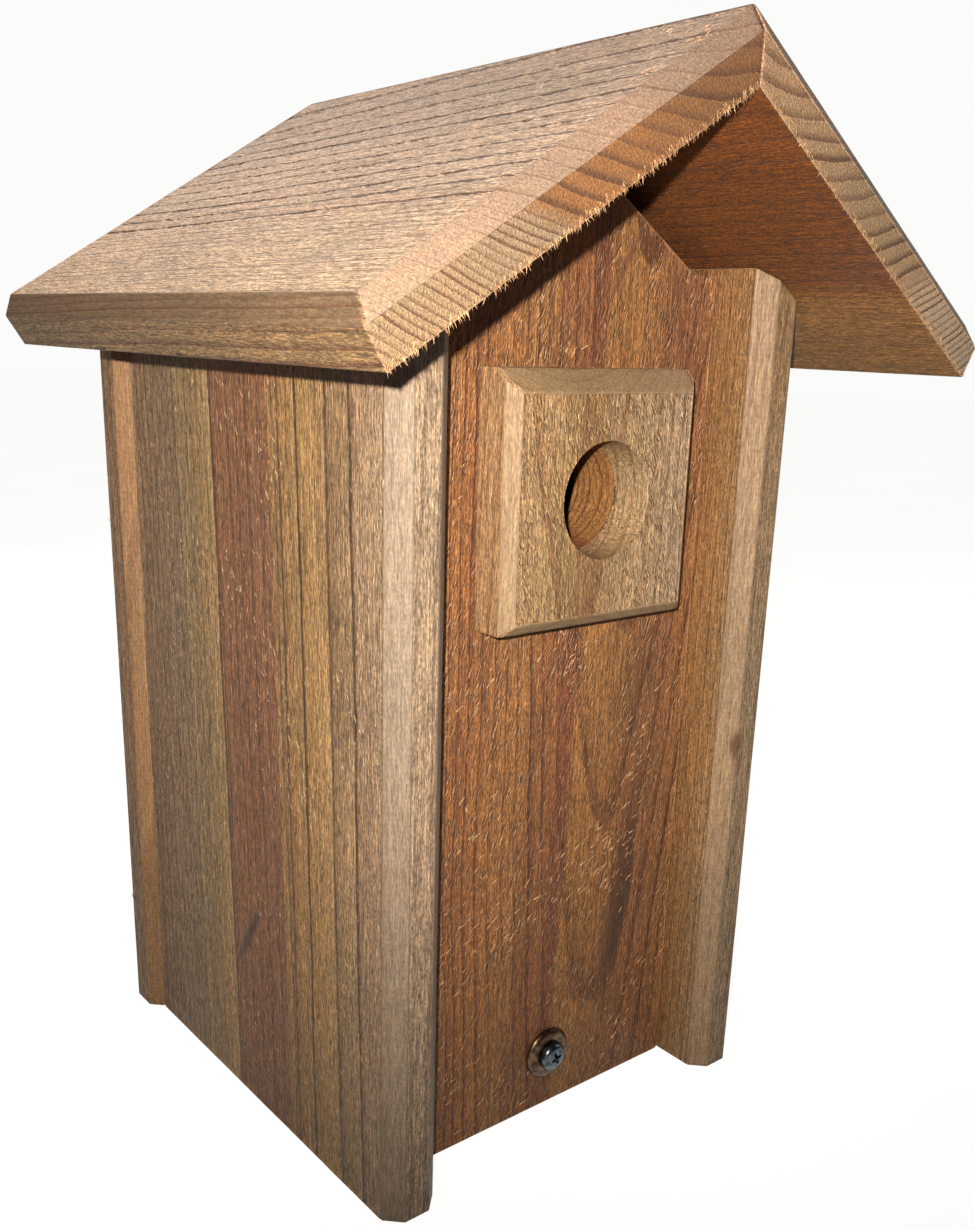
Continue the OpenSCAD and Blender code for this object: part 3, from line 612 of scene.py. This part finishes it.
def metal(name, base, bright, rough, grain_mm, ring_mm=0):
    """A metal with a faint mottle of its plating at grain_mm, rubbed brighter in places."""
    made, tree = blank_material(name)
    place = add(tree, "ShaderNodeTexCoord", out="Object")
    mottle = add(tree, "ShaderNodeTexNoise", {"Vector": place, "Scale": 1000 / grain_mm, "Detail": 4.0})
    colour = add(tree, "ShaderNodeValToRGB", {0: mottle}, stops=((0.38, base), (0.72, bright)))
    rubbed = add(tree, "ShaderNodeMapRange", {0: mottle, 1: 0.3, 2: 0.7, 3: rough + 0.1, 4: rough - 0.08})
    height = add(tree, "ShaderNodeTexNoise", {"Vector": place, "Scale": 2500 / grain_mm, "Detail": 3.0})
    bump = add(tree, "ShaderNodeBump", {"Strength": 0.4, "Distance": 0.05 * MM, "Height": height})
    shader = add(tree, "ShaderNodeBsdfPrincipled", {"Base Color": colour, "Metallic": 1.0,
                 "Roughness": rubbed, "Normal": bump})
    add(tree, "ShaderNodeOutputMaterial", {"Surface": shader})
    return made


def turned(profile, steps, thread=None):
    """A closed shape turned about Z from (radius, height) points in mm, bottom to top.

    thread, if given, is a function of the height and the share of a turn that returns mm to add.
    """
    bm = bmesh.new()
    rows = []
    for radius, height in profile:
        if radius < 1e-6:
            rows.append([bm.verts.new((0, 0, height * MM))])
            continue
        row = []
        for i in range(steps):
            turn = i / steps
            r = (radius + (thread(height, turn, radius) if thread else 0)) * MM
            angle = math.tau * turn
            row.append(bm.verts.new((r * math.cos(angle), r * math.sin(angle), height * MM)))
        rows.append(row)
    for low, high in zip(rows, rows[1:]):
        for i in range(steps):
            j = (i + 1) % steps
            corners = [low[i % len(low)], low[j % len(low)], high[j % len(high)], high[i % len(high)]]
            unique = list(dict.fromkeys(corners))
            if len(unique) > 2:
                bm.faces.new(unique).smooth = True
    bmesh.ops.recalc_face_normals(bm, faces=bm.faces)
    return bm


def aimed(bm, place, way):
    """Stands a turned shape at a place in metres, with its top pointing the given way."""
    turn = Vector(way).to_track_quat("Z", "Y").to_matrix().to_4x4()
    bm.transform(Matrix.Translation(place) @ turn)


def crossed_head(bm, width, length, depth):
    """Sinks a tapered crossed recess in a head whose top is at the greatest Z. mm."""
    mesh = bpy.data.meshes.new("head")
    bm.to_mesh(mesh)
    top = max(v.co.z for v in bm.verts)
    bm.free()
    head = keep(mesh, "head")
    tools = []
    for turn in (0, 90):
        cut = bmesh.new()
        bmesh.ops.create_cube(cut, size=1)
        for v in cut.verts:
            down = v.co.z < 0
            long, wide = (0.42, 0.7) if down else (1.04, 1.1)
            v.co = Vector((v.co.x * length * long, v.co.y * width * wide, -depth if down else 1.0)) * MM
        bmesh.ops.bevel(cut, geom=[e for e in cut.edges if abs(e.verts[0].co.z - e.verts[1].co.z) > MM],
                        offset=0.2 * MM, segments=2, affect="EDGES")
        cut.transform(Matrix.Translation((0, 0, top)) @ Matrix.Rotation(math.radians(turn + 20), 4, "Z"))
        tool_mesh = bpy.data.meshes.new("recess")
        cut.to_mesh(tool_mesh)
        cut.free()
        tool = keep(tool_mesh, "recess")
        tools.append(tool)
        sink = head.modifiers.new("sink", "BOOLEAN")
        sink.operation, sink.solver, sink.object = "DIFFERENCE", "EXACT", tool
    baked(head)
    for tool in tools:
        bpy.data.objects.remove(tool)
    out = bmesh.new()
    out.from_mesh(head.data)
    bpy.data.objects.remove(head)
    return out


def finish_piece(bm, name, material, sharp=32):
    """A turned or bent shape as a smooth object, creased where it turns more than sharp degrees."""
    mesh = bpy.data.meshes.new(name)
    bm.to_mesh(mesh)
    bm.free()
    mesh.materials.append(material)
    for f in mesh.polygons:
        f.use_smooth = True
        f.material_index = 0
    mesh.set_sharp_from_angle(angle=math.radians(sharp))
    return keep(mesh, name)


def make_door_screw(material):
    """The pan-headed screw that holds the front shut, with its thread cut in."""
    low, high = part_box("door_screw")
    radius = (high.x - low.x) / 2 / MM
    middle = Vector(((low.x + high.x) / 2, 0, (low.z + high.z) / 2))
    under = low.y / MM + HEAD_H
    length = high.y / MM - under
    # The thread's pitch, the plain shank above it and the point's length; radii of core and crest.
    pitch, plain, point = 2.1, 13, 5.5
    core, crest = 1.7, 2.4
    step = 0.22

    def thread(height, turn, base):
        down = -height
        if down < plain - 1 or base > crest + 0.1:
            return 0
        rise = min(1, (down - plain + 1) / 2) * min(1, max(0, (length - down) / point))
        saw = (down / pitch + turn) % 1
        peak = max(0, 1 - abs(saw - 0.5) / 0.24)
        return rise * (crest - core) * peak

    profile = [(0, -length)]
    for i in range(int((length - 0.4) / step)):
        down = length - 0.3 - i * step
        taper = min(1, (length - down) / point)
        profile.append((max(0.15, (core if down > plain - 1 else crest) * taper), -down))
    profile += [(crest, -0.5), (crest + 0.25, -0.02)]
    shank = turned(profile + [(0, 0.3)], 40, thread)
    head_profile = [(0, 0), (radius - 0.35, 0), (radius - 0.08, 0.12), (radius, 0.4)]
    for i in range(1, 13):
        a = math.radians(i * 7.5)
        reach = radius * math.cos(a) ** 0.55 if i < 12 else 0
        head_profile.append((reach, 0.4 + (HEAD_H - 0.4) * math.sin(a) ** 0.9))
    head = crossed_head(turned(head_profile, 72), 1.3, 5.0, 1.8)
    mesh = bpy.data.meshes.new("shank")
    shank.to_mesh(mesh)
    shank.free()
    head.from_mesh(mesh)
    aimed(head, middle + Vector((0, under * MM, 0)), (0, -1, 0))
    piece = finish_piece(head, "door_screw_turned", material)
    declare(piece, "screw", "screw_zinc", "door_screw")


def make_washer(material):
    """The domed finishing washer under the screw's head, with a rolled rim."""
    low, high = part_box("screw_washer")
    outer = (high.x - low.x) / 2 / MM
    deep = (high.y - low.y) / MM
    bore, seat = 2.52, 4.9
    profile = [(bore, 0.0), (outer - 0.5, 0.0), (outer - 0.12, 0.15), (outer, 0.45)]
    rolled = 14
    for i in range(1, rolled + 1):
        a = math.radians(90 * i / rolled)
        height = 0.45 + (deep - 0.45) * math.sin(a) ** 1.15
        profile.append((seat + (outer - seat) * math.cos(a) ** 0.8, height))
    profile += [(4.4, deep - 0.05), (3.6, deep - 0.35), (bore, deep - 0.4), (bore, 0.0)]
    bm = turned(profile, 96)
    bmesh.ops.remove_doubles(bm, verts=bm.verts, dist=1e-7)
    bmesh.ops.recalc_face_normals(bm, faces=bm.faces)
    aimed(bm, Vector(((low.x + high.x) / 2, high.y, (low.z + high.z) / 2)), (0, -1, 0))
    piece = finish_piece(bm, "screw_washer_pressed", material)
    declare(piece, "washer", "washer_bronze", "screw_washer")


def islands(node):
    """Each separate solid of a CAD node as its head's middle and its point, in metres."""
    bm = bmesh.new()
    bm.from_mesh(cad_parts[node].data)
    bmesh.ops.remove_doubles(bm, verts=bm.verts, dist=2e-6)
    bm.verts.ensure_lookup_table()
    seen, found = set(), []
    for start in bm.verts:
        if start in seen:
            continue
        group, queue = [], [start]
        seen.add(start)
        while queue:
            v = queue.pop()
            group.append(v.co.copy())
            for e in v.link_edges:
                w = e.other_vert(v)
                if w not in seen:
                    seen.add(w)
                    queue.append(w)
        middle = sum(group, Vector()) / len(group)
        far = max(group, key=lambda p: (p - middle).length)
        other = max(group, key=lambda p: (p - far).length)
        way = (other - far).normalized()
        ends = []
        for tip, sign in ((far, -1), (other, 1)):
            near = [p for p in group if abs((p - tip).dot(way)) < 0.4 * MM]
            mid = sum(near, Vector()) / len(near)
            ends.append((max((p - mid).length for p in near), mid))
        ends.sort(key=lambda pair: -pair[0])
        found.append((ends[0][1], ends[1][1]))
    bm.free()
    return found


def fastener_tree():
    """Sets one fastener at every point, head down at it and turned to its aim."""
    tree = bpy.data.node_groups.new("set_fasteners", "GeometryNodeTree")
    face = tree.interface
    face.new_socket("Points", in_out="INPUT", socket_type="NodeSocketGeometry")
    keys = {"One": face.new_socket("One", in_out="INPUT", socket_type="NodeSocketObject").identifier,
            "Metal": face.new_socket("Metal", in_out="INPUT", socket_type="NodeSocketMaterial").identifier,
            "Seed": face.new_socket("Seed", in_out="INPUT", socket_type="NodeSocketInt").identifier}
    face.new_socket("Fasteners", in_out="OUTPUT", socket_type="NodeSocketGeometry")
    given = add(tree, "NodeGroupInput").node.outputs
    one = add(tree, "GeometryNodeObjectInfo", {"Object": given["One"]}, out="Geometry")
    aim = add(tree, "GeometryNodeInputNamedAttribute", {"Name": "aim"}, data_type="FLOAT_VECTOR")
    turn = add(tree, "FunctionNodeAlignRotationToVector", {"Vector": aim}, axis="Z")
    spin = add(tree, "FunctionNodeRandomValue", {"Max": math.tau, "Seed": given["Seed"]}, out=1,
               data_type="FLOAT")
    about = add(tree, "FunctionNodeAxisAngleToRotation", {"Axis": (0, 0, 1), "Angle": spin})
    turn = add(tree, "FunctionNodeRotateRotation", {0: turn, 1: about}, rotation_space="LOCAL")
    points = add(tree, "GeometryNodeMeshToPoints", {"Mesh": given["Points"], "Radius": 0.0005})
    placed = add(tree, "GeometryNodeInstanceOnPoints", {"Points": points, "Instance": one,
                 "Rotation": turn})
    real = add(tree, "GeometryNodeRealizeInstances", {0: placed})
    done = add(tree, "GeometryNodeSetMaterial", {"Geometry": real, "Material": given["Metal"]})
    add(tree, "NodeGroupOutput", {0: done})
    return tree, keys


def set_fasteners(node, one, body, material, setting, seed):
    """Puts the fastener on every place that the CAD node has one, and stands for it."""
    name = node + "_set"
    places = islands(node)
    mesh = bpy.data.meshes.new(name)
    mesh.from_pydata([head for head, _ in places], [], [])
    aim = mesh.attributes.new("aim", "FLOAT_VECTOR", "POINT")
    for i, (head, point) in enumerate(places):
        aim.data[i].vector = (head - point).normalized()
    piece = keep(mesh, name)
    tree, keys = setting
    use = piece.modifiers.new("set", "NODES")
    use.node_group = tree
    use[keys["One"]] = one
    use[keys["Metal"]] = material
    use[keys["Seed"]] = seed
    baked(piece)
    if "aim" in piece.data.attributes:
        piece.data.attributes.remove(piece.data.attributes["aim"])
    declare(piece, body, "bright_steel", node)


def nail(name, shank_d, length, head_d, head_h, point, steps):
    """One wire nail standing on its point under the origin, head up at it. mm."""
    r = shank_d / 2
    profile = [(0, -length), (r * 0.25, -length + point * 0.3), (r, -length + point), (r, -6.0)]
    for i in range(4):
        # Grip rings that the nail machine's jaws leave below the head, 0.8 mm apart.
        profile += [(r, -5.6 + i * 0.8), (r * 0.93, -5.3 + i * 0.8), (r, -5.0 + i * 0.8)]
    profile += [(r, -head_h - 0.4), (head_d / 2 * 0.9, -head_h), (head_d / 2, -head_h * 0.6),
                (head_d / 2 * 0.96, -head_h * 0.1), (head_d / 2 * 0.8, 0), (0, 0.0)]
    piece = finish_piece(turned(profile, steps), name, bpy.data.materials[0])
    piece.hide_render = True
    return piece


def wood_screw(name, shank_d, length, head_d):
    """One countersunk screw, point down, its flat head's top at the origin. mm."""
    r, pitch = shank_d / 2, 1.6
    cone = head_d / 2 - r

    def thread(height, turn, base):
        down = -height
        if down < cone + 6 or base > r + 0.05:
            return 0
        rise = min(1, max(0, (length - down) / 4))
        saw = (down / pitch + turn) % 1
        return rise * r * 0.34 * (max(0, 1 - abs(saw - 0.5) / 0.26) - 0.75)

    profile = [(0, -length)]
    for i in range(int((length - cone - 0.4) / 0.25)):
        down = length - 0.3 - i * 0.25
        profile.append((max(0.12, r * min(1, (length - down) / 4)), -down))
    profile += [(r, -cone - 0.1), (head_d / 2, -0.35), (head_d / 2, -0.08), (head_d / 2 - 0.1, 0), (0, 0)]
    head = crossed_head(turned(profile, 32, thread), 0.9, 3.6, 1.5)
    piece = finish_piece(head, name, bpy.data.materials[0])
    piece.hide_render = True
    return piece


# ---------------------------------------------------------------- torn fibres
def sliver_mesh():
    """One torn fibre, 1 mm long before scaling: a bent three-sided hair. 12 faces."""
    bm = bmesh.new()
    rings = []
    for i in range(4):
        t = i / 3
        r = 0.075 * (1 - t) ** 0.7
        middle = Vector((0.22 * t * t, 0, t))
        rings.append([bm.verts.new(middle + Vector((math.cos(a), math.sin(a), 0)) * r)
                      for a in (0.3, 2.4, 4.5)] if i < 3 else [bm.verts.new(middle)])
    for low, high in zip(rings, rings[1:]):
        for i in range(3):
            j = (i + 1) % 3
            corners = [low[i], low[j], high[j % len(high)], high[i % len(high)]]
            bm.faces.new(list(dict.fromkeys(corners)))
    bm.faces.new(rings[0][::-1])
    bmesh.ops.recalc_face_normals(bm, faces=bm.faces)
    piece = finish_piece(bm, "one_sliver", bpy.data.materials[0])
    piece.hide_render = True
    return piece


def sliver_tree():
    """Scatters torn fibres over faces, lying near the grain and lifted a little."""
    tree = bpy.data.node_groups.new("scatter_slivers", "GeometryNodeTree")
    face = tree.interface
    face.new_socket("Faces", in_out="INPUT", socket_type="NodeSocketGeometry")
    keys = {}
    for label, kind in (("One", "Object"), ("Fibre", "Material"), ("Seed", "Int"),
                        ("Density", "Float"), ("Shortest", "Float"), ("Longest", "Float"),
                        ("Grain", "Vector"), ("Lift", "Float")):
        keys[label] = face.new_socket(label, in_out="INPUT", socket_type="NodeSocket" + kind).identifier
    face.new_socket("Slivers", in_out="OUTPUT", socket_type="NodeSocketGeometry")
    given = add(tree, "NodeGroupInput").node.outputs
    one = add(tree, "GeometryNodeObjectInfo", {"Object": given["One"]}, out="Geometry")
    weight = add(tree, "GeometryNodeInputNamedAttribute", {"Name": "fuzz"}, data_type="FLOAT")
    dense = add(tree, "ShaderNodeMath", {0: weight, 1: given["Density"]}, operation="MULTIPLY")
    spread = add(tree, "GeometryNodeDistributePointsOnFaces", {"Mesh": given["Faces"], "Density": dense,
                 "Seed": given["Seed"]}).node
    # The fibre's own Z leans along the grain, off it by chance, and up from the face by Lift.
    chance = add(tree, "FunctionNodeRandomValue", {"Min": (-1, -1, -1), "Max": (1, 1, 1),
                 "Seed": given["Seed"]}, data_type="FLOAT_VECTOR")
    chance = add(tree, "ShaderNodeVectorMath", {0: chance, "Scale": 0.42}, operation="SCALE")
    up = add(tree, "ShaderNodeVectorMath", {0: spread.outputs["Normal"], "Scale": given["Lift"]},
             operation="SCALE")
    way = add(tree, "ShaderNodeVectorMath", {0: given["Grain"], 1: chance}, operation="ADD")
    way = add(tree, "ShaderNodeVectorMath", {0: way, 1: up}, operation="ADD")
    turn = add(tree, "FunctionNodeAlignRotationToVector", {"Vector": way}, axis="Z")
    size = add(tree, "FunctionNodeRandomValue", {"Min": given["Shortest"], "Max": given["Longest"],
               "Seed": given["Seed"]}, out=1, data_type="FLOAT")
    placed = add(tree, "GeometryNodeInstanceOnPoints", {"Points": spread.outputs["Points"], "Instance": one,
                 "Rotation": turn, "Scale": size})
    real = add(tree, "GeometryNodeRealizeInstances", {0: placed})
    done = add(tree, "GeometryNodeSetMaterial", {"Geometry": real, "Material": given["Fibre"]})
    add(tree, "NodeGroupOutput", {0: done})
    return tree, keys


def scatter(board, wood, name, seed, density, length, grain, lift, weight, setting, one, material):
    """Slivers on the faces of a board where weight(place, normal) says, as their own piece."""
    source = bmesh.new()
    source.from_mesh(board.data)
    fuzz = source.faces.layers.float.new("fuzz")
    drop = []
    for f in source.faces:
        f[fuzz] = weight(f.calc_center_median() / MM, f.normal)
        if f[fuzz] <= 0:
            drop.append(f)
    bmesh.ops.delete(source, geom=drop, context="FACES")
    mesh = bpy.data.meshes.new(name)
    source.to_mesh(mesh)
    source.free()
    piece = keep(mesh, name)
    tree, keys = setting
    use = piece.modifiers.new("scatter", "NODES")
    use.node_group = tree
    values = {"One": one, "Fibre": material, "Seed": seed, "Density": density / MM / MM, "Lift": lift,
              "Shortest": length[0] * MM, "Longest": length[1] * MM, "Grain": grain}
    for label, value in values.items():
        use[keys[label]] = value
    baked(piece)
    for extra in (*FACE_KINDS, "fuzz"):
        if extra in piece.data.attributes:
            piece.data.attributes.remove(piece.data.attributes[extra])
    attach(piece, wood["body"])


def fibre(name, dark, light):
    """Torn cedar fibre: dull, pale and dry, a little different from hair to hair."""
    made, tree = blank_material(name)
    place = add(tree, "ShaderNodeTexCoord", out="Object")
    mottle = add(tree, "ShaderNodeTexNoise", {"Vector": place, "Scale": 900.0, "Detail": 1.0})
    colour = add(tree, "ShaderNodeValToRGB", {0: mottle}, stops=((0.35, dark), (0.65, light)))
    shader = add(tree, "ShaderNodeBsdfPrincipled", {"Base Color": colour, "Roughness": 0.7, "IOR": 1.5})
    add(tree, "ShaderNodeOutputMaterial", {"Surface": shader})
    return made


# ---------------------------------------------------------------- making it
set_camera()
set_studio()
boards = {name: cut_board(name, wood, cedar(name, wood)) for name, wood in BOARDS.items()}

# Zinc-plated steel, blackened: a blue-grey pan head with a soft gleam.
black_zinc = metal("black_zinc_plated_steel", "#3A4044", "#6C757A", 0.3, 1.6)
# Oiled bronze washer: nearly black brown, mottled brighter in places.
oiled_bronze = metal("oil_rubbed_bronze", "#3A2C22", "#77604C", 0.36, 2.2)
# Bright wire nails: plain drawn steel, grey and satin.
bright_wire = metal("bright_drawn_steel_wire", "#8E9092", "#B9BBBD", 0.34, 1.0)
make_door_screw(black_zinc)
make_washer(oiled_bronze)
setting = fastener_tree()
# Shank, length, head's width and height, point's length and the number of sides.
brad = nail("one_brad", 1.6, 38, 2.0, 0.9, 3, 14)
pivot = nail("one_pivot_nail", 3.0, 43.2, 7.0, 1.2, 4, 24)
block_screw = wood_screw("one_block_screw", 3.5, 28, 7.0)
FASTENED = (
    ("roof_brads", brad, "box", 3),
    ("back_brads", brad, "box", 4),
    ("floor_brads", brad, "box", 5),
    ("pivot_nails", pivot, "box", 6),
    ("block_screws", block_screw, "front", 7),
)
for node, one, body, seed in FASTENED:
    set_fasteners(node, one, body, bright_wire, setting, seed)

# Torn fibres: at the saw's exit under the roof ends, on the rough faces and round the hole.
pale_fibre = fibre("torn_cedar_fibre_pale", "#A98860", "#DEC59C")
brown_fibre = fibre("torn_cedar_fibre_brown", "#8A5F3C", "#C9A070")
rust_fibre = fibre("torn_cedar_fibre_rust", "#A8714C", "#D8A880")
sliver, strewn = sliver_mesh(), sliver_tree()
RIDGE_Z = round(cad_box[1][2] / MM, 3)
ROOF_T = 15  # thickness of the roof boards
TORN = 1.8  # height of the torn strip along the foot of a roof board's front end
STRIP_Y, STRIP_HALF = -92, 4.5  # middle and half width of the strip behind the roof's front slope


def under_ends(place, normal):
    """The torn strip along the foot of a roof board's front end."""
    drop = RIDGE_Z - place.z - abs(place.x) * math.tan(PITCH)
    return float(normal.y < -0.7 and drop * math.cos(PITCH) > ROOF_T - TORN)


def by_front_slope(place, normal):
    """The top of the roof within 9 mm of its front slope, in patches."""
    near = abs(place.y - STRIP_Y) < STRIP_HALF and normal.z > 0.7
    return float(near and noise.noise(place * 0.09) > 0.12)


def patches(facing, size=0.035, low=0.0):
    """Faces that look one way, in patches with size waves in each mm, more of them if low is less."""
    facing = Vector(facing)
    return lambda place, normal: max(0.0, noise.noise(place * size) - low) * (normal.dot(facing) > 0.8)


roof_top = patches((-math.sin(PITCH), 0, math.cos(PITCH)), 0.06)
roof_eave = patches((-math.cos(PITCH), 0, -math.sin(PITCH)), 0.05, -0.3)
# Board, piece, seed, slivers on each mm2, shortest and longest in mm, the way that they lie, how
# far they stand up, where they are, and of what fibre.
STREWN = (
    ("roof_left", "roof_left_end_tears", 21, 2.6, (0.6, 1.9), (0.25, -0.2, -1), 0.1, under_ends,
     brown_fibre),
    ("roof_right", "roof_right_end_tears", 22, 2.2, (0.6, 1.7), (-0.25, -0.2, -1), 0.1, under_ends,
     brown_fibre),
    ("roof_left", "roof_left_chips", 23, 0.5, (0.5, 1.6), (0, -1, 0), 0.3, by_front_slope, rust_fibre),
    ("roof_left", "roof_left_fuzz", 24, 0.10, (0.8, 2.0), (0, -1, 0), 0.3, roof_top, pale_fibre),
    ("roof_left", "roof_left_eave_specks", 30, 0.09, (0.5, 1.3), (0, -1, 0.2), 0.3, roof_eave,
     pale_fibre),
    ("left_wall", "left_wall_fuzz", 25, 0.16, (1.0, 2.8), (0, 0.2, 1), 0.1, patches((-1, 0, 0)),
     pale_fibre),
    ("front_door", "front_fuzz", 26, 0.22, (1.2, 3.6), (0.35, 0, 1), 0.12, patches((0, -1, 0)),
     brown_fibre),
    ("entrance_block", "entrance_block_fuzz", 27, 0.30, (0.8, 2.2), (-0.5, 0, 1), 0.15,
     patches((0, -1, 0), 0.06), pale_fibre),
    ("back_board", "back_board_fuzz", 28, 0.10, (1.0, 2.8), (0.1, 0, 1), 0.1, patches((0, 1, 0)),
     pale_fibre),
    ("right_wall", "right_wall_fuzz", 29, 0.10, (1.0, 2.6), (0, 0.1, 1), 0.1, patches((1, 0, 0)),
     pale_fibre),
)
for node, name, seed, density, length, grain, lift, weight, material in STREWN:
    scatter(boards[node], BOARDS[node], name, seed, density, length, grain, lift, weight, strewn,
            sliver, material)
for spare in (sliver, brad, pivot, block_screw):
    bpy.data.objects.remove(spare)
